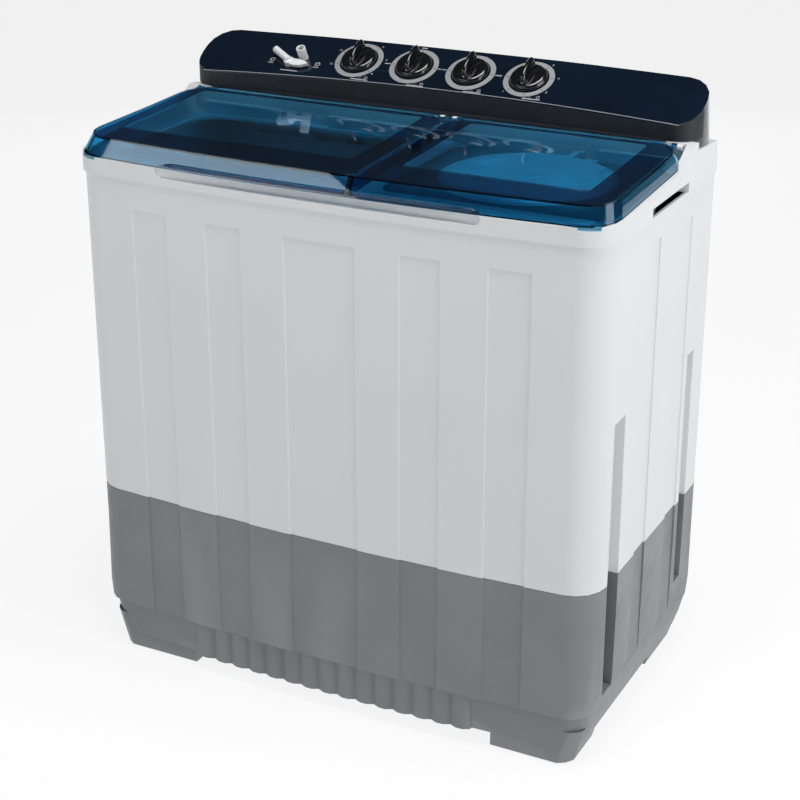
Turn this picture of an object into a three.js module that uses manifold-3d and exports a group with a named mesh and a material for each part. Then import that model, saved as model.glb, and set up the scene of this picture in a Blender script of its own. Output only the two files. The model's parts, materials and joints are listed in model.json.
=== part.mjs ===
// Twin tub washing machine: wash tub on the left, spin basket on the right, console at the rear.
// Units are millimetres, +X right, +Y rear, +Z up, origin on the floor under the middle.
import * as THREE from 'three';
import { mergeVertices } from 'three/addons/utils/BufferGeometryUtils.js';
import Module from 'manifold-3d';

const wasm = await Module();
wasm.setup();

// ---------- driving dimensions ----------
const HALF_WIDTH = 440; // cabinet half width
const HALF_DEPTH = 243.5; // cabinet half depth at the corners
const FRONT_BOW = 18; // how far the middle of the front bulges
const CORNER = 48; // plan corner radius
const GAP = 0.4; // clearance between touching pieces
const WALL = 5; // moulded wall thickness
const FOOT_TOP = 60;
const PAD_HEIGHT = 3;
const PLINTH_LOW = 30;
const LEDGE_Z = 90; // where the grey shell steps out over the plinth
const SPLIT_Z = 298; // grey base shell to white cabinet
const COLLAR_Z = 829; // white cabinet to top deck
const DECK_Z = 852; // deck plate under the lids
const COLLAR_PROUD = 3;
const LID_SEAM_X = 48;
const HINGE_Y = 80;
const HINGE_Z = 893;
const INNER_HINGE = { y: 82, z: 860 };
const CONSOLE_Y = 88; // console front at its two ends
const FACE_Y = 105; // console face, lower edge at the middle
const FACE_Z = 930;
const FACE_TOP_Y = 190;
const FACE_TOP_Z = 977;
const KNOB_X = [-150, -50, 50, 150];
const WASH = { x: -190, y: -5, floor: 378 };
const SPIN = { x: 238, y: -20, floor: 405 };
const MOTOR = { x: -28, y: 40 };
const PULLEY_Z = 224;
const PULLEY_R = 88;
const MOTOR_PULLEY_R = 22;
const REAR_Y = 264.5; // rearmost point, on the drain outlet

// ---------- finishes ----------
const finish = (color, roughness = 0.45, metalness = 0) =>
  new THREE.MeshStandardMaterial({ color, roughness, metalness });
const WHITE = finish(0xdedfe2, 0.38);
const GREY = finish(0x75787d, 0.5);
const NAVY = finish(0x051020, 0.12);
const LID_BLUE = finish(0x1c4a72, 0.08);
const BLACK = finish(0x0b0b0d, 0.25);
const RUBBER = finish(0x1a1a1b, 0.85);
const SILVER = finish(0x96979a, 0.4, 0.3);
const STEEL = finish(0xa9adb2, 0.35, 0.9);
const GALVANISED = finish(0x8e9296, 0.5, 0.7);
const NATURAL = finish(0xd8dad6, 0.45);

// ---------- solid helpers ----------
function solid(geometry) {
  const plain = geometry.clone();
  plain.deleteAttribute('normal');
  plain.deleteAttribute('uv');
  const merged = mergeVertices(plain, 1e-4);
  const mesh = new wasm.Mesh({
    numProp: 3,
    vertProperties: new Float32Array(merged.attributes.position.array),
    triVerts: new Uint32Array(merged.index.array),
  });
  return new wasm.Manifold(mesh);
}

function geometryOf(body) {
  const mesh = body.getMesh();
  const geometry = new THREE.BufferGeometry();
  geometry.setAttribute('position', new THREE.BufferAttribute(mesh.vertProperties, 3));
  geometry.setIndex(new THREE.BufferAttribute(mesh.triVerts, 1));
  return geometry;
}

const join = (first, ...rest) => rest.reduce((body, next) => body.add(next), first);
const cut = (first, ...rest) => rest.reduce((body, next) => body.subtract(next), first);

function box(x0, x1, y0, y1, z0, z1) {
  const geometry = new THREE.BoxGeometry(x1 - x0, y1 - y0, z1 - z0);
  return solid(geometry.translate((x0 + x1) / 2, (y0 + y1) / 2, (z0 + z1) / 2));
}

function rod(radius, x, y, z0, z1, sides = 20) {
  const geometry = new THREE.CylinderGeometry(radius, radius, z1 - z0, sides);
  return solid(geometry.rotateX(Math.PI / 2).translate(x, y, (z0 + z1) / 2));
}

function rodX(radius, x0, x1, y, z, sides = 12) {
  const geometry = new THREE.CylinderGeometry(radius, radius, x1 - x0, sides);
  return solid(geometry.rotateZ(Math.PI / 2).translate((x0 + x1) / 2, y, z));
}

function rodY(radius, y0, y1, x, z, sides = 16) {
  const geometry = new THREE.CylinderGeometry(radius, radius, y1 - y0, sides);
  return solid(geometry.translate(x, (y0 + y1) / 2, z));
}

function ring(outer, inner, x, y, z0, z1, sides = 24) {
  return cut(rod(outer, x, y, z0, z1, sides), rod(inner, x, y, z0 - 1, z1 + 1, sides));
}

// turns a profile of [radius, z] points about the vertical line through (x, y)
function turned(profile, x, y, sides = 20) {
  const points = profile.map(([radius, z]) => new THREE.Vector2(radius, z));
  const geometry = new THREE.LatheGeometry(points, sides);
  return solid(geometry.rotateX(Math.PI / 2).translate(x, y, 0));
}

function prism(points, z0, z1) {
  const shape = new THREE.Shape(points.map(([x, y]) => new THREE.Vector2(x, y)));
  const geometry = new THREE.ExtrudeGeometry(shape, { depth: z1 - z0, bevelEnabled: false });
  return solid(geometry.translate(0, 0, z0));
}

// extrudes a profile of [y, z] points along X
function prismX(points, x0, x1) {
  const shape = new THREE.Shape(points.map(([y, z]) => new THREE.Vector2(y, z)));
  const geometry = new THREE.ExtrudeGeometry(shape, { depth: x1 - x0, bevelEnabled: false });
  geometry.applyMatrix4(new THREE.Matrix4().set(0, 0, 1, x0, 1, 0, 0, 0, 0, 1, 0, 0, 0, 0, 0, 1));
  return solid(geometry);
}

// extrudes a profile of [x, z] points along Y
function prismY(points, y0, y1) {
  const shape = new THREE.Shape(points.map(([x, z]) => new THREE.Vector2(x, z)));
  const geometry = new THREE.ExtrudeGeometry(shape, { depth: y1 - y0, bevelEnabled: false });
  geometry.applyMatrix4(new THREE.Matrix4().set(1, 0, 0, 0, 0, 0, -1, y1, 0, 1, 0, 0, 0, 0, 0, 1));
  return solid(geometry);
}

// closed skin through a stack of outlines that have the same number of [x, y] points
function loft(levels) {
  const count = levels[0].points.length;
  const position = levels.flatMap(({ points, z }) => points.flatMap(([x, y]) => [x, y, z]));
  const index = [];
  for (let level = 0; level + 1 < levels.length; level += 1) {
    for (let i = 0; i < count; i += 1) {
      const a = level * count + i;
      const b = level * count + ((i + 1) % count);
      index.push(a, b, b + count, a, b + count, a + count);
    }
  }
  const cap = (points) => {
    const outline = points.map(([x, y]) => new THREE.Vector2(x, y));
    return THREE.ShapeUtils.triangulateShape(outline, []);
  };
  const top = (levels.length - 1) * count;
  cap(levels[0].points).forEach(([a, b, c]) => index.push(a, c, b));
  cap(levels.at(-1).points).forEach(([a, b, c]) => index.push(top + a, top + b, top + c));
  const geometry = new THREE.BufferGeometry();
  geometry.setAttribute('position', new THREE.Float32BufferAttribute(position, 3));
  geometry.setIndex(index);
  return solid(geometry);
}

// rounded rectangle seen from above, anticlockwise, with its front and rear edges bowed outwards
function plan({ halfX, front, rear, radius = CORNER, bow = FRONT_BOW, rearBow = 0 }) {
  const ARC_STEPS = 4;
  const EDGE_STEPS = 10;
  const points = [];
  const corner = (sx, sy, start) => {
    for (let i = 0; i <= ARC_STEPS; i += 1) {
      const angle = start + (i / ARC_STEPS) * (Math.PI / 2);
      const cx = sx * (halfX - radius);
      const cy = sy > 0 ? rear - radius : radius - front;
      points.push([cx + radius * Math.cos(angle), cy + radius * Math.sin(angle)]);
    }
  };
  const edge = (from, to, y) => {
    for (let i = 1; i < EDGE_STEPS; i += 1) points.push([from + ((to - from) * i) / EDGE_STEPS, y]);
  };
  corner(1, 1, 0);
  if (rearBow) edge(halfX - radius, radius - halfX, rear);
  corner(-1, 1, Math.PI / 2);
  corner(-1, -1, Math.PI);
  edge(radius - halfX, halfX - radius, -front);
  corner(1, -1, 1.5 * Math.PI);
  const middle = (rear - front) / 2;
  return points.map(([x, y]) => {
    const share = Math.max(0, 1 - (x / HALF_WIDTH) ** 2);
    return [x, y < middle ? y - bow * share : y + rearBow * share];
  });
}

const cabinetPlan = (grow, extra = {}) =>
  plan({
    halfX: HALF_WIDTH + grow,
    front: HALF_DEPTH + grow,
    rear: HALF_DEPTH + grow,
    radius: CORNER + Math.max(grow, -30),
    ...extra,
  });

const frontY = (x) => -(HALF_DEPTH + FRONT_BOW * (1 - (x / HALF_WIDTH) ** 2));

const group = new THREE.Group();

function part(name, body, material, parent = group) {
  const mesh = new THREE.Mesh(geometryOf(body), material);
  mesh.name = name;
  parent.add(mesh);
  return mesh;
}

// ---------- relief cut into the lower and the upper casing alike ----------
const FRONT_PANELS = [[-334, -264], [-199, -130], [-62, 63], [127, 198], [263, 335]];
const SIDE_PANELS = [[-82, -34, 790], [58, 108, 783]];
const CHANNELS = [
  { from: -205, to: -148, depth: 16, low: 108, high: 555 },
  { from: 114, to: 155, depth: 12, low: 150, high: 551 },
];
const PANEL_TOP = 782;
const PANEL_DEPTH = 2.5;

function frontPanel([x0, x1]) {
  const CHAMFER = 5;
  const STEPS = 4;
  const inner = [];
  const outer = [];
  for (let i = 0; i <= STEPS; i += 1) {
    const near = x0 + ((x1 - x0) * i) / STEPS;
    const far = x0 + CHAMFER + ((x1 - x0 - 2 * CHAMFER) * i) / STEPS;
    outer.push([near, frontY(near) - 4]);
    inner.unshift([far, frontY(far) + PANEL_DEPTH]);
  }
  return prism([...outer, ...inner], LEDGE_Z - 4, PANEL_TOP);
}

function sideChannel({ from, to, depth, low, high }, side, grow) {
  const face = HALF_WIDTH + 4;
  const points = [[face, from - 2 * grow], [face, to + grow], [HALF_WIDTH - depth - grow, to + grow]];
  const mirrored = points.map(([x, y]) => [side * x, y]);
  return prism(side > 0 ? mirrored : mirrored.reverse(), low - grow, high + grow);
}

const sidePanel = ([y0, y1, top], side) => {
  const near = side * (HALF_WIDTH - PANEL_DEPTH);
  const far = side * (HALF_WIDTH + 4);
  return box(Math.min(near, far), Math.max(near, far), y0, y1, LEDGE_Z + 20, top);
};

const bothSides = (make) => [make(-1), make(1)];
const relief = join(
  ...FRONT_PANELS.map(frontPanel),
  ...SIDE_PANELS.flatMap((panel) => bothSides((side) => sidePanel(panel, side))),
  ...CHANNELS.flatMap((channel) => bothSides((side) => sideChannel(channel, side, 0))),
);
const reliefInside = join(
  ...CHANNELS.flatMap((channel) => bothSides((side) => sideChannel(channel, side, WALL))),
);
const SERVICE = { halfX: 300, low: 130, high: 640 }; // opening behind the rear cover
const serviceOpening = box(-SERVICE.halfX, SERVICE.halfX, 200, 260, SERVICE.low, SERVICE.high);

// ---------- grey base shell with plinth and four feet ----------
const FOOT_ENDS = { left: -260, right: 277 };
const FEET = [
  { name: 'front_left', x0: -408, x1: FOOT_ENDS.left, y0: -236, y1: -141 },
  { name: 'front_right', x0: FOOT_ENDS.right, x1: 408, y0: -236, y1: -141 },
  { name: 'rear_left', x0: -408, x1: FOOT_ENDS.left, y0: 97, y1: 232 },
  { name: 'rear_right', x0: FOOT_ENDS.right, x1: 408, y0: 97, y1: 232 },
];

function foot({ x0, x1, y0, y1 }) {
  const FLARE = 16;
  const left = x0 < 0 ? FLARE : 0;
  const right = x0 < 0 ? 0 : FLARE;
  const rectangle = (a, b, c, d) => [[a, c], [b, c], [b, d], [a, d]];
  const body = loft([
    { points: rectangle(x0, x1, y0, y1), z: PAD_HEIGHT },
    { points: rectangle(x0 - left, x1 + right, y0, y1), z: FOOT_TOP + 2 },
  ]);
  const rounding = (halfX) => plan({ halfX, front: 238, rear: 234, radius: 34, bow: 0 });
  return body.intersect(loft([
    { points: rounding(409), z: 0 },
    { points: rounding(429), z: FOOT_TOP + 4 },
  ]));
}

function plinthFlutes() {
  const FLUTES = 15;
  const STEPS = 3;
  const HALF = 248;
  const PITCH = (2 * HALF) / FLUTES;
  const LOBE = 6;
  const BACK = 12;
  const points = [];
  for (let i = 0; i <= FLUTES * STEPS; i += 1) {
    const x = -HALF + (i * PITCH) / STEPS;
    const wave = Math.abs(Math.sin((Math.PI * (x + HALF)) / PITCH));
    points.push([x, frontY(x) + 9 - LOBE * wave]);
  }
  points.push([HALF, frontY(HALF) + 9 + BACK], [0, frontY(0) + 9 + BACK], [-HALF, frontY(HALF) + 9 + BACK]);
  return prism(points, PLINTH_LOW - 2, LEDGE_Z + 1);
}

function baseShell() {
  const level = (halfX, inset, z) => ({
    points: plan({ halfX, front: HALF_DEPTH - inset, rear: HALF_DEPTH - 2, radius: CORNER - 8 }),
    z,
  });
  const outer = loft([
    level(418, 11, PLINTH_LOW),
    level(428, 9.5, 60),
    level(435, 9, LEDGE_Z - 0.5),
    level(436, 0, LEDGE_Z),
    level(438.5, 0, 120),
    { points: cabinetPlan(0), z: SPLIT_Z - 60 },
    { points: cabinetPlan(0), z: SPLIT_Z - GAP },
  ]);
  const room = loft([
    { points: plan({ halfX: 422, front: 228, rear: 232, radius: 34 }), z: FOOT_TOP + 6 },
    { points: plan({ halfX: 430, front: 229, rear: 236, radius: 40 }), z: LEDGE_Z },
    { points: cabinetPlan(-WALL), z: LEDGE_Z + 40 },
    { points: cabinetPlan(-WALL), z: SPLIT_Z + 10 },
  ]);
  const underside = loft([
    { points: plan({ halfX: 408, front: 222, rear: 230, radius: 34 }), z: PLINTH_LOW - 10 },
    { points: plan({ halfX: 416, front: 222, rear: 230, radius: 34 }), z: FOOT_TOP },
  ]);
  const VENT = { pitch: 60, halfX: 22, halfY: 12 };
  const vents = [-1, 0, 1].map((i) => {
    const x = i * VENT.pitch;
    return box(x - VENT.halfX, x + VENT.halfX, -VENT.halfY, VENT.halfY, FOOT_TOP - 4, FOOT_TOP + 10);
  });
  const shell = cut(outer, underside, room.subtract(reliefInside));
  return cut(join(shell, plinthFlutes(), ...FEET.map(foot)), relief, serviceOpening, ...vents);
}
part('base_shell', baseShell(), GREY);

FEET.forEach(({ name, x0, x1, y0, y1 }) => {
  const level = (inset, z) => ({
    points: [
      [x0 + inset, y0 + inset],
      [x1 - inset, y0 + inset],
      [x1 - inset, y1 - inset],
      [x0 + inset, y1 - inset],
    ],
    z,
  });
  const pad = loft([level(12, 0), level(8, PAD_HEIGHT - GAP)]);
  part(`foot_pad_${name}`, pad, RUBBER);
});

// ---------- white upper cabinet ----------
function upperCabinet() {
  const outer = prism(cabinetPlan(0), SPLIT_Z, COLLAR_Z - GAP);
  const inside = prism(cabinetPlan(-WALL), SPLIT_Z - 10, COLLAR_Z + 10);
  return cut(outer, inside.subtract(reliefInside), relief, serviceOpening);
}
part('upper_cabinet', upperCabinet(), WHITE);

// ---------- rear cover, its screws, drain outlet and cord gland ----------
const COVER = { halfX: 312, low: 118, high: 652, y: HALF_DEPTH + GAP, thick: 3 };
const SCREWS = [[-304, 124], [304, 124], [-304, 646], [304, 646]];
const DRAIN = { x: -250, z: 180, outer: 19, bore: 15, flange: 26 };
const GLAND = { x: 240, z: 180, outer: 8.4, bore: 4 };

function rearCover() {
  const outer = COVER.y + COVER.thick;
  const plate = box(-COVER.halfX, COVER.halfX, COVER.y, outer, COVER.low, COVER.high);
  const RIBS = 5;
  const ribs = [];
  for (let i = 0; i < RIBS; i += 1) {
    const z = 230 + i * 85;
    ribs.push(box(-260, 260, outer - 1, outer + 3, z, z + 14));
  }
  const holes = SCREWS.map(([x, z]) => rodY(2.6, COVER.y - 5, outer + 5, x, z, 8));
  const drainWay = rodY(DRAIN.outer + 2, 230, 260, DRAIN.x, DRAIN.z, 20);
  const cordWay = rodY(GLAND.outer + 0.6, 230, 260, GLAND.x, GLAND.z, 16);
  return cut(join(plate, ...ribs), ...holes, drainWay, cordWay);
}
part('rear_cover', rearCover(), WHITE);

SCREWS.forEach(([x, z], i) => {
  const face = COVER.y + COVER.thick;
  const head = rodY(4.5, face + GAP, face + GAP + 2.6, x, z, 10);
  part(`rear_cover_screw_${i + 1}`, join(head, rodY(2, COVER.y + GAP, face + GAP + 1, x, z, 8)), STEEL);
});

function drainOutlet() {
  const tube = rodY(DRAIN.outer, 205, REAR_Y, DRAIN.x, DRAIN.z, 20);
  const flange = rodY(DRAIN.flange, 205, 211, DRAIN.x, DRAIN.z, 20);
  return cut(join(tube, flange), rodY(DRAIN.bore, 200, REAR_Y + 5, DRAIN.x, DRAIN.z, 20));
}
part('drain_outlet', drainOutlet(), NATURAL);

function cordGland() {
  const sleeve = rodY(GLAND.outer, 238, 258, GLAND.x, GLAND.z, 14);
  return cut(sleeve, rodY(GLAND.bore, 230, 262, GLAND.x, GLAND.z, 12));
}
part('power_cord_gland', cordGland(), RUBBER);

// ---------- top deck with collar ----------
const DECK_TOP = [[-275, 854.5], [-200, 860.5], [-92, 864.5], [32, 869.5], [64, 882.5], [88, 896.5]];
const WASH_MOUTH = { x0: -395, x1: 8, y0: -178, y1: 66 };
const SPIN_MOUTH_R = 120;
const SPIN_MOUTH_Y = -55;
const LUGS = [[-427, -419], [31, 39], [52, 60], [419, 427]]; // each carries one hinge pin
const GRIP = { y0: -85, y1: 70, inner: 424, top: 845 }; // hand hold in each side of the collar
const SCOOP = { x0: -281, x1: 255, low: 841, high: 863 }; // finger recess under the front of the lids

function roundedRectangle(x0, x1, y0, y1, radius) {
  const STEPS = 4;
  const points = [];
  const corners = [[x1, y1, 0], [x0, y1, 1], [x0, y0, 2], [x1, y0, 3]];
  corners.forEach(([x, y, quarter]) => {
    const cx = x + (x === x1 ? -radius : radius);
    const cy = y + (y === y1 ? -radius : radius);
    for (let i = 0; i <= STEPS; i += 1) {
      const angle = ((quarter + i / STEPS) * Math.PI) / 2;
      points.push([cx + radius * Math.cos(angle), cy + radius * Math.sin(angle)]);
    }
  });
  return points;
}

function topDeck() {
  const collar = { rear: HALF_DEPTH, halfX: HALF_WIDTH + COLLAR_PROUD, front: HALF_DEPTH + COLLAR_PROUD };
  const outline = prism(plan({ ...collar, radius: CORNER }), COLLAR_Z, 930);
  const rear = [[106, 896.5], [106, 884], [198, 879], [215, 843], [260, 838], [260, COLLAR_Z - 5]];
  const profile = [[-275, COLLAR_Z - 5], ...DECK_TOP, ...rear];
  const outer = outline.intersect(prismX([...profile].reverse(), -460, 460));
  const bowl = join(
    prism(roundedRectangle(-430, 430, -250, CONSOLE_Y, 30), DECK_Z, 930),
    box(-430, 430, 0, CONSOLE_Y, DECK_Z, 930),
  );
  const rearShelf = box(-460, 460, 192, 300, 833, 900);
  const underLids = prism(cabinetPlan(-WALL - 2), COLLAR_Z - 10, DECK_Z - 4).subtract(rearShelf);
  const underConsole = prism(roundedRectangle(-425, 425, 100, 190, 12), COLLAR_Z - 10, 874);
  const gripBox = (grow, low, high) => bothSides((side) => {
    const near = side * (GRIP.inner - grow);
    const far = side * 460;
    return box(Math.min(near, far), Math.max(near, far), GRIP.y0 - grow, GRIP.y1 + grow, low, high);
  });
  const grips = gripBox(0, COLLAR_Z - 5, GRIP.top);
  const gripWalls = gripBox(WALL, COLLAR_Z - 20, GRIP.top + WALL);
  const scoopOutline = roundedRectangle(SCOOP.x0, SCOOP.x1, SCOOP.low, SCOOP.high, 10.5);
  const scoop = prismY(scoopOutline, -280, frontY(0) + 8);
  const scoopWall = box(SCOOP.x0 - 9, SCOOP.x1 + 10, -280, frontY(0) + 14, COLLAR_Z - 20, SCOOP.high + 7);
  const { x0: mouthLeft, x1: mouthRight, y0: mouthFront, y1: mouthRear } = WASH_MOUTH;
  const washMouth = prism(roundedRectangle(mouthLeft, mouthRight, mouthFront, mouthRear, 45), 800, 930);
  const spinMouth = rod(SPIN_MOUTH_R, SPIN.x, SPIN_MOUTH_Y, 800, 930, 36);
  const hollow = join(underLids, underConsole).subtract(join(...gripWalls, scoopWall));
  const lugs = LUGS.map(([x0, x1]) => cut(
    join(rodX(5, x0, x1, HINGE_Y, HINGE_Z), box(x0, x1, HINGE_Y, CONSOLE_Y + 2, HINGE_Z - 5, HINGE_Z + 2)),
    rodX(2.8, x0 - 1, x1 + 1, HINGE_Y, HINGE_Z),
  ));
  const inletWay = rod(9, -249, 140, 820, 900, 14);
  const wires = box(-180, 180, 120, 180, 860, 900);
  const floor = cut(outer, bowl, hollow, washMouth, spinMouth, ...grips, scoop, inletWay, wires);
  const innerHinge = cut(
    box(SPIN.x - 34, SPIN.x - 26, INNER_HINGE.y - 4, CONSOLE_Y + 2, DECK_Z - 2, INNER_HINGE.z + 4),
    rodX(2.3, SPIN.x - 40, SPIN.x - 20, INNER_HINGE.y, INNER_HINGE.z),
  );
  return join(floor, ...lugs, innerHinge, innerHinge.translate(60, 0, 0));
}
part('top_deck', topDeck(), WHITE);

// ---------- lids ----------
const LID_FRONT = -HALF_DEPTH - COLLAR_PROUD;
const LID_LEVELS = [ // half width, distance back from the collar, height
  [441, 1, 800],
  [441, 1, 856],
  [432, 20, 885],
  [420, 44, 905],
];
const LID_RADIUS = 44;
const LID_TOP = [[HINGE_Y + 5, 899], [60, 896], [-50, 890], [-275, 882]]; // [y, z] from rear to front
const lidTaper = (inset) => loft(LID_LEVELS.map(([halfX, back, z]) => ({
  points: plan({
    halfX: halfX - inset,
    front: -LID_FRONT - back - inset,
    rear: HINGE_Y,
    radius: LID_RADIUS,
  }),
  z,
})));

function lidShell(x0, x1, notches) {
  const SIDE_WALL = 4;
  const TOP_WALL = 3.5;
  const lower = DECK_TOP.map(([y, z]) => [y, z + GAP]);
  const top = (drop) => LID_TOP.map(([y, z]) => [y, z - drop]);
  const hollow = [[-275, 800], [HINGE_Y - SIDE_WALL, 800], ...top(TOP_WALL)];
  const outer = lidTaper(0).intersect(prismX([...lower, ...top(0)], x0, x1));
  const inner = lidTaper(SIDE_WALL).intersect(prismX(hollow, x0 + SIDE_WALL, x1 - SIDE_WALL));
  const rearTrim = box(x0 - 5, x1 + 5, HINGE_Y, HINGE_Y + 30, 800, 950);
  const shell = cut(outer, inner, rearTrim);
  const gaps = notches.map(([a, b]) => box(a - GAP, b + GAP, HINGE_Y - 8, HINGE_Y + 20, 860, 930));
  return cut(shell, ...gaps);
}

function ear(x0, x1) {
  const barrel = rodX(5.5, x0, x1, HINGE_Y, HINGE_Z);
  const web = box(x0, x1, HINGE_Y - 12, HINGE_Y - 2, HINGE_Z - 3, HINGE_Z + 3.5);
  return join(barrel, web);
}
const pinWay = (x0, x1) => rodX(2.8, x0, x1, HINGE_Y, HINGE_Z);

function washLid() {
  const body = lidShell(-445, LID_SEAM_X - GAP, LUGS.slice(0, 2));
  return cut(join(body, ear(-418, -410), ear(22, 30)), pinWay(-430, -405), pinWay(18, 34));
}

function spinLid() {
  const body = lidShell(LID_SEAM_X + GAP, 445, LUGS.slice(2));
  return cut(join(body, ear(61, 69), ear(410, 418)), pinWay(57, 73), pinWay(405, 430));
}
part('wash_lid', washLid(), LID_BLUE);
part('spin_lid', spinLid(), LID_BLUE);

const LID_PINS = [
  ['wash_lid_pin_left', -427, -410],
  ['wash_lid_pin_right', 22, 39],
  ['spin_lid_pin_left', 52, 69],
  ['spin_lid_pin_right', 410, 427],
];
LID_PINS.forEach(([name, x0, x1]) => {
  part(name, rodX(2.3, x0, x1, HINGE_Y, HINGE_Z, 8), STEEL);
});

// ---------- inner spin lid, with a trunnion on each of its two arms ----------
function spinInnerLid() {
  const RADIUS = 128;
  const low = DECK_Z + GAP;
  const profile = [[0, low], [RADIUS, low], [RADIUS, low + 3], [RADIUS - 6, low + 7], [0, low + 9]];
  const disc = turned(profile, SPIN.x, SPIN_MOUTH_Y, 30);
  const under = rod(112, SPIN.x, SPIN_MOUTH_Y, low - 1, low + 4, 24);
  const arms = [-1, 1].map((side) => {
    const x0 = SPIN.x + (side < 0 ? -25 : 15);
    const pinStart = SPIN.x + (side < 0 ? -33 : 24);
    return join(
      rodX(3.6, x0, x0 + 10, INNER_HINGE.y, INNER_HINGE.z, 10),
      box(x0, x0 + 10, 55, INNER_HINGE.y - 1, INNER_HINGE.z - 3, INNER_HINGE.z + 1.5),
      rodX(1.9, pinStart, pinStart + 9, INNER_HINGE.y, INNER_HINGE.z, 10),
    );
  });
  return join(cut(disc, under), ...arms);
}
part('spin_inner_lid', spinInnerLid(), WHITE);

// ---------- wash tub side ----------
function washTub() {
  const outer = loft([
    { points: roundedRectangle(-405, 22, -200, 180, 60), z: WASH.floor - 6 },
    { points: roundedRectangle(-415, 34, -212, 190, 60), z: 500 },
    { points: roundedRectangle(-415, 34, -212, 190, 60), z: DECK_Z - 5 },
  ]);
  const inner = loft([
    { points: roundedRectangle(-400, 17, -195, 175, 56), z: WASH.floor },
    { points: roundedRectangle(-411, 30, -208, 186, 56), z: 502 },
    { points: roundedRectangle(-411, 30, -208, 186, 56), z: DECK_Z },
  ]);
  const bore = rod(17, WASH.x, WASH.y, 300, 420, 16);
  const drain = rod(16, -330, 140, 300, 420, 16);
  return cut(outer, inner, bore, drain);
}
part('wash_tub', washTub(), WHITE);

function overflowCover() {
  const LEFT = -368;
  const RIGHT = -92;
  const SLOTS = 5;
  const SLOT = { width: 38, pitch: 56, z: 803, height: 7 };
  const plate = prismY(roundedRectangle(LEFT, RIGHT, 520, 832, 14), 170, 174);
  const slots = [];
  for (let i = 0; i < SLOTS; i += 1) {
    const x = LEFT + 12 + i * SLOT.pitch;
    const outline = roundedRectangle(x, x + SLOT.width, SLOT.z, SLOT.z + SLOT.height, 3);
    slots.push(prismY(outline, 160, 180));
  }
  const sides = [box(LEFT, LEFT + 4, 172, 182, 530, 820), box(RIGHT - 4, RIGHT, 172, 185, 530, 820)];
  return cut(join(plate, ...sides), ...slots);
}
part('overflow_cover', overflowCover(), WHITE);

function lintFilter() {
  const outside = box(-150, -104, 156, 169.6, 560, 690);
  const pocket = box(-146, -108, 152, 166, 564, 700);
  return cut(outside, pocket);
}
part('lint_filter', lintFilter(), NATURAL);

function pulsator() {
  const R = 160;
  const base = turned(
    [[0, 384], [R - 4, 384], [R, 388], [R - 6, 394], [90, 402], [40, 412], [26, 420], [0, 420]],
    WASH.x, WASH.y, 28,
  );
  const BLADES = 6;
  const blades = [];
  for (let i = 0; i < BLADES; i += 1) {
    const blade = prismX([[20, 395], [148, 388], [148, 398], [96, 414], [20, 418]], -8, 8);
    blades.push(blade.rotate([0, 0, (360 * i) / BLADES]).translate(WASH.x, WASH.y, 0));
  }
  return cut(join(base, ...blades), rod(8.4, WASH.x, WASH.y, 380, 425, 12));
}

function pulley(x, y, radius, bore) {
  const half = 9;
  const profile = [
    [bore, PULLEY_Z - half - 4], [bore + 9, PULLEY_Z - half - 4], [bore + 9, PULLEY_Z - half],
    [radius + 5, PULLEY_Z - half], [radius + 5, PULLEY_Z - half + 3], [radius - 5, PULLEY_Z - 3],
    [radius - 5, PULLEY_Z + 3], [radius + 5, PULLEY_Z + half - 3], [radius + 5, PULLEY_Z + half],
    [bore, PULLEY_Z + half], [bore, PULLEY_Z - half - 4],
  ];
  return turned(profile, x, y, 20);
}

// the pulsator, its screw, the shaft and the pulley turn together about the vertical axis through WASH
part('pulsator', pulsator(), NATURAL);
part(
  'pulsator_screw',
  join(rod(11, WASH.x, WASH.y, 420.4, 426, 16), rod(3, WASH.x, WASH.y, 409, 421, 8)),
  STEEL,
);
part('wash_shaft', rod(7.9, WASH.x, WASH.y, 205, 408.6, 14), STEEL);
part('wash_pulley', pulley(WASH.x, WASH.y, PULLEY_R, 8.3), GALVANISED);

const BEARING = [[0, 262], [34, 262], [46, 270], [46, 330], [62, 334], [62, 345.6], [0, 345.6]];
part(
  'wash_bearing_housing',
  cut(
    turned(BEARING, WASH.x, WASH.y, 24),
    rod(8.6, WASH.x, WASH.y, 250, 350, 14),
  ),
  GALVANISED,
);
part(
  'wash_shaft_seal',
  cut(turned([[0, 371], [14, 371], [16.4, 376], [16.4, 382], [0, 382]], WASH.x, WASH.y, 18),
    rod(8.3, WASH.x, WASH.y, 365, 390, 14)),
  RUBBER,
);

// ---------- steel motor plate hung under the wash tub ----------
function motorPlate() {
  const plate = prism(roundedRectangle(-300, 40, -110, 120, 20), 346, 350);
  const rails = [box(-300, -294, -95, 105, 349, 371.6), box(14, 20, -95, 105, 349, 371.6)];
  const shaftWay = rod(20, WASH.x, WASH.y, 340, 360, 16);
  const motorWay = rod(16, MOTOR.x, MOTOR.y, 340, 360, 14);
  return cut(join(plate, ...rails), shaftWay, motorWay);
}
part('motor_plate', motorPlate(), GALVANISED);

function motorCase(x, y, low, high, radius) {
  return turned(
    [
      [0, low],
      [radius - 14, low],
      [radius, low + 14],
      [radius, high - 14],
      [radius - 14, high],
      [0, high],
    ],
    x,
    y,
    20,
  );
}
part(
  'wash_motor',
  cut(motorCase(MOTOR.x, MOTOR.y, 242, 345.6, 60), rod(7.4, MOTOR.x, MOTOR.y, 235, 310, 14)),
  STEEL,
);
part('wash_motor_shaft', rod(7, MOTOR.x, MOTOR.y, 206, 309, 14), STEEL);
part('motor_pulley', pulley(MOTOR.x, MOTOR.y, MOTOR_PULLEY_R, 7.3), GALVANISED);

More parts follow.
